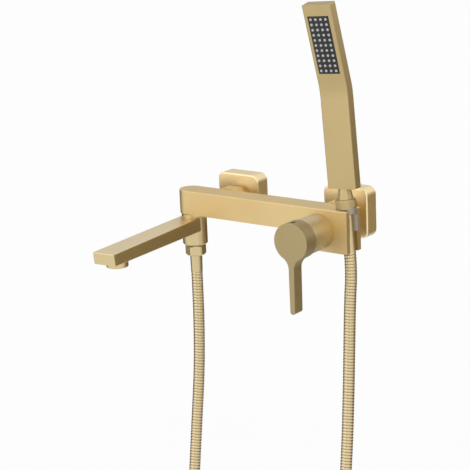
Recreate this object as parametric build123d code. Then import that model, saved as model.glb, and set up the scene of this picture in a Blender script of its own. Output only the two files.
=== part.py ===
from build123d import *
import math
import os

# Wall-mounted bath shower mixer with a swinging spout, a lever, and a hand shower on a hose.
# Axes: +X to the right along the bar, +Y into the wall, +Z up. Millimetres.
# The origin lies on the wall plane, midway between the two wall threads.
# "out" is a distance out from the wall, towards -Y.

# General clearances
fit_gap = 0.06
part_gap = 0.3
thin_gap = 0.1
overrun = 5.0

# Wall connection: eccentric unions, nuts and square rosettes
inlet_spacing = 150.0
union_offset = 6.0
wall_thread_radius = 10.48
wall_thread_depth = 14.0
union_bore_radius = 6.5
union_barrel_radius = 12.9
union_collar_out = 4.0
union_shoulder_out = 8.0
union_barrel_out = 31.8
rosette_side = 58.0
rosette_depth = 19.0
rosette_corner_radius = 9.0
rosette_edge_radius = 2.0
rosette_wall = 2.0
nut_across_flats = 30.0
nut_length = 14.4
nut_lip = 3.4
nut_chamfer = 1.2
washer_thickness = 1.8
washer_bore_radius = 7.0
tail_radius = 9.5
tail_bore_radius = 7.0
tail_flange_radius = 12.4
tail_flange_thickness = 2.2
tail_thread_depth = 8.0

# Bar and block casting
bar_back_out = 39.75
bar_depth = 28.5
bar_height = 28.5
bar_edge_radius = 1.0
spout_overhang = 40.65
bar_end_overhang = 2.4
block_drop = 20.5
block_margin = 24.8
block_step_radius = 4.0
block_edge_radius = 0.8
channel_radius = 3.6
hot_channel_out = 47.5
mixed_channel_out = 61.5
channel_drop = 4.0

# Holder fork and its plastic insert
holder_reach = 23.9
fork_reach = 9.1
fork_slot_half = 8.4
fork_slot_inset = 2.6
holder_lean_deg = 4.0
insert_flange_radius = 11.4
insert_flange_thickness = 1.2
insert_cup_radius = 10.2
insert_cup_depth = 6.0
insert_mouth_radius = 9.0
insert_throat_radius = 8.2
insert_leg_wall = 1.2
insert_height = 21.5
insert_proud = 0.2

# Cartridge, turning about the lever axis
lever_inset = 4.2
lever_drop = 11.4
cartridge_floor_out = 57.0
cartridge_seal_thickness = 1.0
cartridge_radius = 13.0
cartridge_neck_radius = 11.2
cartridge_base_wall = 4.0
cartridge_hollow_radius = 11.2
cartridge_shoulder_out = 80.0
cartridge_roof = 2.0
cartridge_neck_bore = 7.6
cartridge_top_out = 95.5
port_radius = 2.6
port_circle_radius = 6.2
disc_thickness = 3.0
fixed_disc_radius = 10.9
moving_disc_radius = 5.8
disc_pocket_share = 0.6
disc_carrier_height = 4.0
boss_radius = 16.5
boss_out = 88.0
boss_thread_radius = 14.9
ring_nut_flats = 28.0
ring_nut_top_out = 94.0
lift_pivot_out = 84.5
rotor_plate_height = 5.2
rotor_hub_out = 98.0
rotor_slot_half = 3.4
stem_radius = 3.1
stem_ball_radius = 2.2
stem_neck_share = 0.7
stem_start_out = 70.6
stem_head_radius = 4.2
stem_end_inset = 4.2
lift_pin_radius = 1.5
lift_limit_deg = 20.0

# Sleeve round the cartridge, and the lever handle
sleeve_base_radius = 19.9
sleeve_front_radius = 20.5
sleeve_lip_radius = 19.3
sleeve_wall_radius = 17.0
sleeve_out = 104.75
sleeve_shoulder = 1.1
cap_groove = 0.55
cap_radius = 21.6
cap_depth = 19.1
cap_rim_radius = 20.0
cap_front_wall = 3.0
cap_hub_radius = 9.0
cap_hub_inset = 20.6
cap_hole_inset = 6.9
cap_hole_radius = 2.9
handle_blend_radius = 14.0
handle_length = 82.4
handle_top_width = 7.0
handle_tip_width = 6.2
handle_depth = 15.4
handle_edge_radius = 0.9
grub_radius = 2.0
grub_length = 4.6
grub_socket_radius = 1.1

# Spout, its pillar and the hose outlet
pillar_radius = 9.0
pillar_thread_radius = 8.0
pillar_thread_height = 11.0
pillar_bottom_drop = 47.6
pillar_bore_radius = 6.4
pillar_window_height = 9.0
pillar_window_deg = 70.0
o_ring_section = 1.1
o_ring_upper_drop = 20.0
o_ring_lower_drop = 42.5
hub_radius = 14.8
hub_height = 38.0
hub_gap = 0.35
hub_chamfer = 1.2
hub_recess_radius = 12.3
hub_recess_depth = 4.6
glide_ring_radius = 12.4
glide_ring_depth = 1.5
spout_swing_deg = 4.5
spout_reach = 182.8
spout_root_width = 26.0
spout_tip_width = 28.5
spout_root_height = 17.1
spout_tip_height = 14.1
spout_tip_slant_deg = 8.0
spout_top_drop = 18.3
spout_edge_radius = 0.9
spout_wall = 2.4
aerator_setback = 25.0
aerator_radius = 12.5
aerator_proud = 7.1
aerator_sunk = 6.0
aerator_bore_radius = 10.3
aerator_insert_radius = 10.2
aerator_insert_height = 8.0
aerator_cells_across = 3
aerator_cell = 3.2
aerator_web = 0.7
nipple_flange_radius = 11.9
nipple_flange_height = 3.6
nipple_thread_radius = 10.0
nipple_bore_radius = 5.0
nipple_spigot_length = 8.0
check_valve_length = 9.0

# Hose and its two ends
hose_radius = 6.8
hose_bore_radius = 4.4
hose_groove_radius = 6.15
hose_rib_count = 56
hose_end_collar = 4.0
hose_end_run = 23.0
hose_arc_share = 0.45
# Places of a rib's three circles along its pitch: groove, crest, crest
hose_rib_shares = (0.08, 0.22, 0.94)
hose_nut_flats = 22.4
hose_nut_corner_radius = 12.3
hose_nut_height = 13.1
hose_nut_chamfer = 2.0
hose_nut_lip = 2.4
hose_nut_gap = 0.6
hose_nut_turn_deg = 10.0
ferrule_top_radius = 7.3
ferrule_flange_radius = 9.4
ferrule_flange_height = 1.5
ferrule_length = 20.8
hose_washer_height = 1.6
hose_washer_bore = 4.6
# Hose route between its two straight end runs, in the part's own frame
hose_route = [
    (-115.7, -54.6, -160.0),
    (-117.1, -57.0, -220.0),
    (-120.1, -64.0, -290.0),
    (-120.3, -80.0, -400.0),
    (-114.0, -90.0, -495.0),
    (-88.0, -96.0, -568.0),
    (-38.0, -97.0, -607.0),
    (18.0, -93.0, -606.0),
    (62.0, -85.0, -562.0),
    (84.0, -78.0, -485.0),
    (93.0, -70.5, -380.0),
    (97.0, -62.0, -280.0),
    (97.9, -57.0, -210.0),
    (99.0, -54.6, -150.0),
    (100.8, -54.0, -100.0),
]

# Hand shower, built on its own axis, which leans with the holder
collar_radius = 11.25
collar_lift = 1.0
collar_height = 10.4
cone_neck_radius = 7.0
cone_sleeve_top_radius = 8.3
cone_sleeve_tip_radius = 7.5
cone_sleeve_drop = 5.6
nut_tail_drop = 6.4
liner_radius = 5.7
liner_seat_height = 3.0
end_ferrule_drop = 48.0
end_ferrule_radius = 6.8
neck_thread_radius = 9.9
neck_bottom_radius = 8.9
neck_top_radius = 6.9
neck_face_count = 8
neck_facet_share = 0.96
neck_bore_radius = 4.6
neck_spigot_radius = 4.2
neck_spigot_bore = 3.0
neck_spigot_height = 7.0
limiter_height = 3.0
stick_bottom = 23.4
stick_bend = 133.0
stick_width = 36.0
stick_depth = 12.3
head_length = 97.3
head_bend_deg = 12.2
bend_radius = 80.0
stick_edge_radius = 1.4
stick_wall = 1.7
stick_floor = 4.0
plate_width = 26.8
plate_height = 65.4
plate_start = 19.3
plate_thickness = 2.4
plate_corner_radius = 1.0
plate_proud = 0.3
nozzle_columns = 4
nozzle_rows = 11
nozzle_margin_x = 3.8
nozzle_margin_y = 3.55
nozzle_sides = 6
nozzle_radius = 1.45
nozzle_tip_share = 0.85
nozzle_hole_gap = 0.12
nozzle_proud = 0.9
membrane_thickness = 0.9
membrane_margin = 2.0

# Places worked out from the sizes above
axis_z = -union_offset
left_x = -inlet_spacing / 2
right_x = inlet_spacing / 2
spout_x = left_x - spout_overhang
lever_x = right_x - lever_inset
lever_z = axis_z - lever_drop
holder_x = right_x + holder_reach
fork_end_x = holder_x + fork_reach
block_left_x = lever_x - block_margin
bar_end_x = spout_x - bar_end_overhang
bar_front_out = bar_back_out + bar_depth
bar_mid_out = bar_back_out + bar_depth / 2
bar_top_z = axis_z + bar_height / 2
bar_bottom_z = axis_z - bar_height / 2
block_bottom_z = bar_bottom_z - block_drop
nut_front_out = bar_back_out - part_gap
nut_back_out = nut_front_out - nut_length
tail_flange_front_out = nut_front_out - nut_lip
tail_end_out = tail_flange_front_out - tail_flange_thickness
housing_floor_out = cartridge_floor_out + cartridge_seal_thickness
disc_seat_out = housing_floor_out + cartridge_base_wall
moving_disc_out = disc_seat_out + disc_thickness + fit_gap
disc_carrier_out = moving_disc_out + disc_thickness
rotor_out = disc_carrier_out + disc_carrier_height + part_gap
cap_out = sleeve_out + cap_groove + cap_depth
cap_hub_out = cap_out - cap_hub_inset
cap_hole_out = cap_out - cap_hole_inset
stem_end_out = cap_out - stem_end_inset
hub_top_z = bar_bottom_z - hub_gap
hub_bottom_z = hub_top_z - hub_height
nipple_flange_bottom_z = hub_bottom_z + hub_recess_depth - nipple_flange_height - part_gap
hose_nut_top_z = hub_bottom_z - hose_nut_gap
hose_nut_bottom_z = hose_nut_top_z - hose_nut_height
hose_seat_z = hose_nut_bottom_z + hose_nut_lip
nipple_end_z = hose_seat_z + ferrule_flange_height + hose_washer_height
nozzle_pitch_x = (plate_width - 2 * nozzle_margin_x) / (nozzle_columns - 1)
nozzle_pitch_y = (plate_height - 2 * nozzle_margin_y) / (nozzle_rows - 1)


def save(name, part):
    """Write one sub-part under its node name."""
    part.label = name
    export_step(part, os.path.join("parts", name + ".step"))
    print(name, round(part.volume, 1))


def turned(points):
    """Turned solid about +Z from (radius, height) points."""
    outline = [(radius, 0, height) for radius, height in points]
    face = make_face(Polyline(*outline, close=True))
    return revolve(face, Axis.Z)


def tube(outer, inner, low, high):
    """Plain ring or tube about +Z between two heights."""
    return turned([(inner, low), (outer, low), (outer, high), (inner, high)])


def rod(radius, low, high):
    """Plain rod about +Z between two heights."""
    return turned([(0, low), (radius, low), (radius, high), (0, high)])


def facing_out(x, z, part):
    """Turn +Z outwards from the wall and put the axis at x, z."""
    return Pos(x, 0, z) * Rot(90, 0, 0) * part


def upright(x, out, z, part):
    """Keep +Z up and put the axis at x and a distance out from the wall."""
    return Pos(x, -out, z) * part


def leaning(part):
    """Put a hand-shower piece on the holder's leaning axis."""
    return Pos(holder_x, -bar_mid_out, bar_top_z) * Rot(0, -holder_lean_deg, 0) * part


def hex_blank(across_flats, corner_radius, chamfer_size, low, high):
    """Hexagon bar with its corners turned down at both ends."""
    hexagon = RegularPolygon(across_flats / 2, 6, major_radius=False, rotation=30)
    bar = Pos(0, 0, low) * extrude(hexagon, high - low)
    barrel = turned([
        (0, low),
        (corner_radius - chamfer_size, low),
        (corner_radius, low + chamfer_size),
        (corner_radius, high - chamfer_size),
        (corner_radius - chamfer_size, high),
        (0, high),
    ])
    return bar & barrel


# Wall connection


def make_s_union(side_x):
    """Eccentric union: wall thread at height zero, barrel on the mixer's axis."""
    thread = rod(wall_thread_radius, -wall_thread_depth, union_collar_out)
    thread = facing_out(side_x, 0, thread)
    barrel = rod(union_barrel_radius, union_shoulder_out, union_barrel_out)
    barrel = facing_out(side_x, axis_z, barrel)
    collar = rod(union_barrel_radius, union_collar_out, union_shoulder_out)
    blend = facing_out(side_x, axis_z / 2, collar)
    meet_out = (union_shoulder_out + union_barrel_out) / 2
    wall_bore = rod(union_bore_radius, -wall_thread_depth - overrun, meet_out)
    barrel_bore = rod(union_bore_radius, union_shoulder_out, union_barrel_out + overrun)
    union = thread + barrel + blend
    union = union - facing_out(side_x, 0, wall_bore)
    return union - facing_out(side_x, axis_z, barrel_bore)


def make_rosette(side_x):
    """Hollow rounded-square rosette that slides along the union's barrel."""
    outline = RectangleRounded(rosette_side, rosette_side, rosette_corner_radius)
    shell = extrude(outline, rosette_depth)
    shell = fillet(shell.faces().sort_by(Axis.Z)[-1].edges(), rosette_edge_radius)
    inner_side = rosette_side - 2 * rosette_wall
    inner = RectangleRounded(inner_side, inner_side, rosette_corner_radius - rosette_wall)
    shell = shell - extrude(inner, rosette_depth - rosette_wall)
    shell = shell - rod(union_barrel_radius + thin_gap, -overrun, rosette_depth + overrun)
    return facing_out(side_x, axis_z, shell)


def make_union_nut(side_x):
    """Union nut with a thread for the barrel and a lip behind the tail's flange."""
    corner = nut_across_flats / math.sqrt(3)
    nut = hex_blank(nut_across_flats, corner - thin_gap, nut_chamfer, nut_back_out, nut_front_out)
    nut = nut - rod(union_barrel_radius + thin_gap, nut_back_out - overrun, tail_flange_front_out)
    nut = nut - rod(tail_radius + thin_gap, nut_back_out, nut_front_out + overrun)
    return facing_out(side_x, axis_z, Rot(0, 0, 30) * nut)


def make_inlet_tail(side_x):
    """Tail screwed into the casting, with the flange that the nut pulls on."""
    end_out = bar_back_out + tail_thread_depth
    tail = turned([
        (tail_bore_radius, tail_end_out),
        (tail_flange_radius, tail_end_out),
        (tail_flange_radius, tail_flange_front_out),
        (tail_radius, tail_flange_front_out),
        (tail_radius, end_out),
        (tail_bore_radius, end_out),
    ])
    return facing_out(side_x, axis_z, tail)


def make_union_washer(side_x):
    """Flat washer between the union's barrel and the tail."""
    washer = tube(tail_flange_radius, washer_bore_radius, tail_end_out - washer_thickness, tail_end_out)
    return facing_out(side_x, axis_z, washer)


# Casting and holder


def holder_slot(half_width, back_radius, low, high):
    """Slot about the holder's axis, round at the back and open to the right."""
    length = fork_reach + overrun
    back = rod(back_radius, low, high)
    mouth = Pos(length / 2, 0, (low + high) / 2) * Box(length, 2 * half_width, high - low)
    return back + mouth


def make_body_casting():
    """Bar with a round left end, a deeper right block and the holder fork."""
    round_end = bar_depth / 2
    length = fork_end_x - bar_end_x
    bar = Pos(bar_end_x + length / 2, -bar_mid_out, axis_z) * Box(length, bar_depth, bar_height)
    end = upright(bar_end_x, bar_mid_out, axis_z, rod(round_end, -bar_height / 2, bar_height / 2))
    block_length = fork_end_x - block_left_x
    block_x = block_left_x + block_length / 2
    block_z = bar_bottom_z - block_drop / 2
    block = Pos(block_x, -bar_mid_out, block_z) * Box(block_length, bar_depth, block_drop)
    body = bar + end + block
    corner = Vector(block_left_x, -bar_mid_out, bar_bottom_z)
    step = body.edges().filter_by(Axis.Y).sort_by_distance(corner)[0]
    body = fillet(step, block_step_radius)
    top = body.faces().sort_by(Axis.Z)[-1].edges()
    body = fillet(top, bar_edge_radius)
    base = body.faces().sort_by(Axis.Z)[0].edges()
    body = fillet(base, block_edge_radius)
    body = body + facing_out(lever_x, lever_z, rod(boss_radius, bar_front_out - overrun, boss_out))
    body = body - cut_inlets() - cut_cartridge_seat() - cut_channels() - cut_outlet() - cut_fork()
    return body


def cut_inlets():
    """Threaded sockets for the two tails, and the cold port into the cartridge seat."""
    end_out = bar_back_out + tail_thread_depth
    left = facing_out(left_x, axis_z, rod(tail_radius, bar_back_out - overrun, end_out))
    right = facing_out(right_x, axis_z, rod(tail_radius, bar_back_out - overrun, end_out))
    port = rod(channel_radius, end_out - overrun, cartridge_floor_out)
    port = facing_out(right_x, lever_z + port_circle_radius, port)
    return left + right + port


def cut_cartridge_seat():
    """Stepped bore for the cartridge, its shoulder and its ring nut."""
    seat = rod(cartridge_radius + thin_gap, cartridge_floor_out, cartridge_shoulder_out)
    thread = rod(boss_thread_radius, cartridge_shoulder_out, boss_out + overrun)
    return facing_out(lever_x, lever_z, seat + thread)


def cut_channels():
    """Hot channel from the left inlet, and mixed-water channel to the outlet."""
    z = axis_z - channel_drop
    seat_x = lever_x - cartridge_radius / 2
    hot = Pos(left_x, -hot_channel_out, z) * Rot(0, 90, 0) * rod(channel_radius, 0, seat_x - left_x)
    rise = facing_out(seat_x, z, rod(channel_radius, hot_channel_out, cartridge_floor_out))
    mixed = Rot(0, 90, 0) * rod(channel_radius, 0, seat_x - spout_x)
    return hot + rise + Pos(spout_x, -mixed_channel_out, z) * mixed


def cut_outlet():
    """Threaded socket for the spout's pillar under the left end."""
    socket = rod(pillar_thread_radius, -overrun, pillar_thread_height)
    return upright(spout_x, bar_mid_out, bar_bottom_z, socket)


def cut_fork():
    """Slot for the hose, and the cup that takes the insert."""
    low = block_bottom_z - bar_top_z - overrun
    slot = Pos(-fork_slot_inset, 0, 0) * holder_slot(fork_slot_half, fork_slot_half, low, overrun)
    cup = rod(insert_cup_radius + thin_gap, -insert_cup_depth - insert_flange_thickness, overrun)
    rim = rod(insert_flange_radius + thin_gap, -insert_flange_thickness, overrun)
    return upright(holder_x, bar_mid_out, bar_top_z, slot + cup + rim)


def make_holder_insert():
    """Plastic insert: a cone seat with a rim, and two legs down the slot, open to the right."""
    cup_bottom = -insert_cup_depth - insert_flange_thickness
    rim = rod(insert_flange_radius, -insert_flange_thickness, insert_proud)
    cup = rod(insert_cup_radius, cup_bottom, 0)
    leg_half = fork_slot_half - thin_gap
    legs = holder_slot(leg_half, leg_half, -insert_height, cup_bottom)
    seat = turned([
        (0, cup_bottom),
        (insert_throat_radius, cup_bottom),
        (insert_mouth_radius, insert_proud + thin_gap),
        (0, insert_proud + thin_gap),
    ])
    throat = leg_half - insert_leg_wall
    way = holder_slot(throat, throat, -insert_height - overrun, overrun)
    insert = rim + cup + legs - seat - way
    room = 2 * insert_flange_radius + overrun
    keep = Box(room, room, insert_height + overrun)
    keep = Pos(fork_reach - thin_gap - room / 2, 0, -insert_height / 2) * keep
    return upright(holder_x, bar_mid_out, bar_top_z, insert & keep)


# Cartridge and lever


def on_lever_axis(part):
    """Put a cartridge or lever piece on the lever's axis."""
    return facing_out(lever_x, lever_z, part)


def port_holes(low, high):
    """Three water ports on a circle."""
    holes = PolarLocations(port_circle_radius, 3, start_angle=90)
    return Part() + [place * rod(port_radius, low, high) for place in holes]


def make_cartridge_seal():
    """Rubber seal under the cartridge."""
    seal = rod(cartridge_radius - thin_gap, cartridge_floor_out, housing_floor_out)
    ports = port_holes(cartridge_floor_out - overrun, housing_floor_out + overrun)
    return on_lever_axis(seal - ports)


def make_cartridge_housing():
    """Plastic housing with a shoulder for the ring nut and a bored neck."""
    roof_out = cartridge_shoulder_out - cartridge_roof
    ports = port_holes(housing_floor_out - overrun, disc_seat_out + overrun)
    housing = turned([
        (0, housing_floor_out),
        (cartridge_radius, housing_floor_out),
        (cartridge_radius, cartridge_shoulder_out),
        (cartridge_neck_radius, cartridge_shoulder_out),
        (cartridge_neck_radius, cartridge_top_out),
        (cartridge_neck_bore, cartridge_top_out),
        (cartridge_neck_bore, roof_out),
        (cartridge_hollow_radius, roof_out),
        (cartridge_hollow_radius, disc_seat_out),
        (0, disc_seat_out),
    ])
    return on_lever_axis(housing - ports)


def make_fixed_disc():
    """Fixed ceramic disc."""
    high = disc_seat_out + disc_thickness
    disc = rod(fixed_disc_radius, disc_seat_out, high)
    return on_lever_axis(disc - port_holes(disc_seat_out - overrun, high + overrun))


def make_moving_disc():
    """Ceramic disc that slides over the fixed one, hollow underneath."""
    disc = rod(moving_disc_radius, moving_disc_out, moving_disc_out + disc_thickness)
    pocket_radius = moving_disc_radius * disc_pocket_share
    pocket = rod(pocket_radius, moving_disc_out - overrun, moving_disc_out + disc_thickness / 2)
    return on_lever_axis(disc - pocket)


def make_disc_carrier():
    """Plastic carrier with the pocket for the stem's ball."""
    carrier = rod(moving_disc_radius, disc_carrier_out, disc_carrier_out + disc_carrier_height)
    pocket = rod(stem_ball_radius + part_gap, stem_start_out - stem_ball_radius, rotor_out)
    return on_lever_axis(carrier - pocket)


def make_cartridge_nut():
    """Ring nut that holds the cartridge down."""
    thread = rod(boss_thread_radius - thin_gap, cartridge_shoulder_out, boss_out + part_gap)
    corner = ring_nut_flats / math.sqrt(3)
    head = hex_blank(ring_nut_flats, corner, nut_chamfer / 2, boss_out + part_gap, ring_nut_top_out)
    nut = thread + head
    neck_radius = cartridge_neck_radius + thin_gap
    neck = rod(neck_radius, cartridge_shoulder_out - overrun, ring_nut_top_out + overrun)
    return on_lever_axis(nut - neck)


def make_cartridge_rotor():
    """Rotor that turns with the lever, slotted for the stem to tilt."""
    plate = rod(fixed_disc_radius, rotor_out, rotor_out + rotor_plate_height)
    rotor = plate + rod(cartridge_neck_bore - part_gap, rotor_out, rotor_hub_out)
    way_length = rotor_hub_out - rotor_out + 2 * overrun
    way = Box(2 * rotor_slot_half, 2 * (stem_radius + part_gap), way_length)
    rotor = rotor - Pos(0, 0, (rotor_out + rotor_hub_out) / 2) * way
    rotor = rotor - tilt_room(1, rotor_hub_out + overrun)
    rotor = rotor - tilt_room(-1, rotor_out - overrun)
    pin_hole = Rot(0, 90, 0) * rod(lift_pin_radius, -cartridge_neck_bore, cartridge_neck_bore)
    return on_lever_axis(rotor - Pos(0, 0, lift_pivot_out) * pin_hole)


def tilt_room(side, end_out):
    """Room on one side of the pivot for the stem at its highest lift."""
    tilt = math.radians(lift_limit_deg)
    near = stem_radius + part_gap
    far = abs(end_out - lift_pivot_out) * math.tan(tilt) + stem_radius / math.cos(tilt) + part_gap
    outline = Polyline(
        (0, 0, lift_pivot_out),
        (0, side * near, lift_pivot_out),
        (0, side * far, end_out),
        (0, 0, end_out),
        close=True,
    )
    return extrude(make_face(outline), rotor_slot_half, both=True)


def make_lift_pin():
    """Cross pin that the stem tilts on."""
    half = cartridge_neck_bore - 2 * part_gap
    pin = Rot(0, 90, 0) * rod(lift_pin_radius, -half, half)
    return on_lever_axis(Pos(0, 0, lift_pivot_out) * pin)


def make_lever_stem():
    """Stem with a ball at the disc end, a cross hole and a thicker head."""
    ball = Pos(0, 0, stem_start_out) * Sphere(stem_ball_radius)
    shank = rod(stem_radius, rotor_out + part_gap, cap_hub_out - part_gap)
    neck_radius = stem_ball_radius * stem_neck_share
    point = turned([
        (0, stem_start_out),
        (neck_radius, stem_start_out),
        (neck_radius, rotor_out),
        (stem_radius, rotor_out + part_gap),
        (0, rotor_out + part_gap),
    ])
    head = rod(stem_head_radius, cap_hub_out - part_gap, stem_end_out)
    hole = Rot(0, 90, 0) * rod(lift_pin_radius + fit_gap, -2 * stem_radius, 2 * stem_radius)
    stem = ball + point + shank + head
    return on_lever_axis(stem - Pos(0, 0, lift_pivot_out) * hole)


def make_lever_sleeve():
    """Sleeve round the cartridge, wider towards the lever, with a rounded lip."""
    sleeve = turned([
        (sleeve_wall_radius, bar_front_out),
        (sleeve_base_radius, bar_front_out),
        (sleeve_front_radius, sleeve_out - sleeve_shoulder),
        ((sleeve_front_radius + sleeve_lip_radius) / 2, sleeve_out - sleeve_shoulder / 3),
        (sleeve_lip_radius, sleeve_out),
        (sleeve_wall_radius, sleeve_out),
    ])
    return on_lever_axis(sleeve)


def make_lever_handle():
    """Round cap that flows into a straight narrow lever, hollow behind its front wall."""
    cap_back_out = sleeve_out + cap_groove
    depth = cap_out - cap_back_out
    front = extrude(lever_outline(), handle_depth, dir=(0, 0, -1))
    rim = front.faces().sort_by(Axis.Z)[-1].edges()
    front = fillet(rim, handle_edge_radius)
    seam_deg = math.degrees(math.atan2(*reversed(blend_join())))
    cap = front + Rot(0, 0, seam_deg) * rod(cap_radius, -depth, -handle_depth)
    hollow = tube(cap_rim_radius, cap_hub_radius, -depth - overrun, -cap_front_wall)
    hub_back = rod(cap_hub_radius + thin_gap, -depth - overrun, cap_hub_out - cap_out)
    bore = rod(stem_head_radius, -depth - overrun, stem_end_out - cap_out)
    hub = rod(cap_hub_radius, cap_hub_out - cap_out, -cap_front_wall)
    screw_z = cap_hole_out - cap_out
    access = rod(cap_hole_radius, cap_hub_radius, cap_radius + overrun)
    thread = rod(grub_radius, 0, cap_hub_radius + thin_gap)
    screw_way = Pos(0, 0, screw_z) * Rot(-90, 0, 0) * (access + thread)
    handle = cap - hollow - hub_back + hub - bore - screw_way
    return on_lever_axis(Pos(0, 0, cap_out) * handle)


def blend_centre():
    """Centre of the right concave arc, which touches both the cap's circle and the lever."""
    x = handle_top_width / 2 + handle_blend_radius
    return x, -math.sqrt((cap_radius + handle_blend_radius) ** 2 - x ** 2)


def blend_join():
    """Point where the right concave arc meets the cap's circle."""
    share = cap_radius / (cap_radius + handle_blend_radius)
    return tuple(share * place for place in blend_centre())


def lever_outline():
    """Teardrop outline: the cap's circle joined by two concave arcs to the round-ended lever."""
    half_top = handle_top_width / 2
    half_tip = handle_tip_width / 2
    blend_x, blend_y = blend_centre()
    join = blend_join()
    middle_angle = (math.pi + math.atan2(-blend_y, -blend_x)) / 2
    bow = (
        blend_x + handle_blend_radius * math.cos(middle_angle),
        blend_y + handle_blend_radius * math.sin(middle_angle),
    )
    tip = half_tip - handle_length
    outline = [
        ThreePointArc((join[0], join[1]), (bow[0], bow[1]), (half_top, blend_y)),
        Line((half_top, blend_y), (half_tip, tip)),
        ThreePointArc((half_tip, tip), (0, -handle_length), (-half_tip, tip)),
        Line((-half_tip, tip), (-half_top, blend_y)),
        ThreePointArc((-half_top, blend_y), (-bow[0], bow[1]), (-join[0], join[1])),
        ThreePointArc((-join[0], join[1]), (0, cap_radius), (join[0], join[1])),
    ]
    return make_face(outline)


def make_lever_grub_screw():
    """Grub screw in the cap's hub, pressing on the stem's head."""
    screw = rod(grub_radius, stem_head_radius, stem_head_radius + grub_length)
    socket = extrude(RegularPolygon(grub_socket_radius, 6), grub_length / 2)
    screw = screw - Pos(0, 0, stem_head_radius + grub_length / 2) * socket
    return on_lever_axis(Pos(0, 0, cap_hole_out) * Rot(-90, 0, 0) * screw)


# Spout side


def on_spout_axis(part):
    """Put a piece on the spout's upright axis, with heights as they are."""
    return upright(spout_x, bar_mid_out, 0, part)


def make_spout_pillar():
    """Fixed tube that carries the spout, with two seal grooves and a window to the front."""
    top = bar_bottom_z + pillar_thread_height
    bottom = axis_z - pillar_bottom_drop
    pillar = turned([
        (pillar_bore_radius, top),
        (pillar_thread_radius, top),
        (pillar_thread_radius, bar_bottom_z),
        (pillar_radius, bar_bottom_z),
        (pillar_radius, bottom),
        (pillar_bore_radius, bottom),
    ])
    floor = pillar_radius - 2 * o_ring_section
    groove = tube(pillar_radius + overrun, floor, -o_ring_section, o_ring_section)
    for drop in (o_ring_upper_drop, o_ring_lower_drop):
        pillar = pillar - Pos(0, 0, axis_z - drop) * groove
    window_z = axis_z - (o_ring_upper_drop + o_ring_lower_drop) / 2
    half = math.radians(pillar_window_deg / 2)
    reach = pillar_radius + overrun
    wedge = Polyline(
        (0, 0),
        (reach * math.sin(half), -reach * math.cos(half)),
        (-reach * math.sin(half), -reach * math.cos(half)),
        close=True,
    )
    window = extrude(make_face(wedge), pillar_window_height)
    return on_spout_axis(pillar - Pos(0, 0, window_z - pillar_window_height / 2) * window)


def make_pillar_o_rings():
    """Two rubber rings in the pillar's grooves."""
    section = o_ring_section - thin_gap
    middle = pillar_radius - o_ring_section - thin_gap
    ring = turned([
        (middle - section, 0),
        (middle - section / 2, -section),
        (middle + section / 2, -section),
        (middle + section, 0),
        (middle + section / 2, section),
        (middle - section / 2, section),
    ])
    drops = (o_ring_upper_drop, o_ring_lower_drop)
    return on_spout_axis(Compound(children=[Pos(0, 0, axis_z - drop) * ring for drop in drops]))


def make_spout_glide_ring():
    """Plastic ring between the bar and the spout's hub."""
    low = bar_bottom_z - glide_ring_depth
    return on_spout_axis(tube(glide_ring_radius, pillar_radius + thin_gap, low, bar_bottom_z))


def make_spout_arm():
    """Round hub with a straight flat-topped arm that widens and thins towards its tip."""
    hub = turned([
        (0, hub_bottom_z),
        (hub_radius - hub_chamfer, hub_bottom_z),
        (hub_radius, hub_bottom_z + hub_chamfer),
        (hub_radius, hub_top_z),
        (0, hub_top_z),
    ])
    top = axis_z - spout_top_drop
    arm = spout_prism(top, 0, spout_reach, 0, 0)
    back = arm.faces().sort_by(Axis.Y)[-1]
    slant = Pos(0, -overrun, 0) * Box(2 * spout_tip_width, 2 * overrun, 3 * spout_tip_height)
    arm = arm - Pos(0, -spout_reach, top) * Rot(spout_tip_slant_deg, 0, 0) * slant
    arm = fillet([edge for edge in arm.edges() if edge not in back.edges()], spout_edge_radius)
    spout = hub + arm
    way = spout_prism(top, spout_wall, spout_reach - 2 * spout_wall, spout_wall, spout_wall)
    spout = spout - way
    spout = spout - rod(pillar_radius + fit_gap, hub_bottom_z - overrun, hub_top_z + overrun)
    spout = spout - rod(hub_recess_radius, hub_bottom_z - overrun, hub_bottom_z + hub_recess_depth)
    ring_room = glide_ring_depth + part_gap
    spout = spout - rod(glide_ring_radius + part_gap, bar_bottom_z - ring_room, hub_top_z + overrun)
    tip_bottom = top - spout_tip_height
    outlet = rod(aerator_radius, tip_bottom - overrun, tip_bottom + aerator_sunk)
    return swung(spout - Pos(0, aerator_setback - spout_reach, 0) * outlet)


def spout_prism(top, start, end, inset, drop):
    """Tapered arm between two distances from the hub's axis, smaller by an inset all round."""
    sections = []
    for distance in (start, end):
        along = distance / spout_reach
        width = spout_root_width + (spout_tip_width - spout_root_width) * along - 2 * inset
        height = spout_root_height + (spout_tip_height - spout_root_height) * along - inset - drop
        centre = (0, -distance, top - drop - height / 2)
        sections.append(Plane(centre, x_dir=(1, 0, 0), z_dir=(0, -1, 0)) * Rectangle(width, height))
    return loft(sections, ruled=True)


def swung(part):
    """Swing a spout piece to the spout's resting direction."""
    return on_spout_axis(Rot(0, 0, spout_swing_deg) * part)


def aerator_at(part):
    """Put an aerator piece under the spout's tip, with height zero at the arm's underside."""
    tip_bottom = axis_z - spout_top_drop - spout_tip_height
    return swung(Pos(0, aerator_setback - spout_reach, tip_bottom) * part)


def make_aerator_housing():
    """Ring screwed into the spout, standing proud below it."""
    ring = turned([
        (aerator_bore_radius - aerator_web, -aerator_proud),
        (aerator_radius - aerator_web, -aerator_proud),
        (aerator_radius - thin_gap, aerator_web - aerator_proud),
        (aerator_radius - thin_gap, aerator_sunk - 2 * aerator_web),
        (aerator_bore_radius, aerator_sunk - 2 * aerator_web),
        (aerator_bore_radius, aerator_web - aerator_proud),
        (aerator_bore_radius - aerator_web, aerator_web - aerator_proud),
    ])
    return aerator_at(ring)


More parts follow.
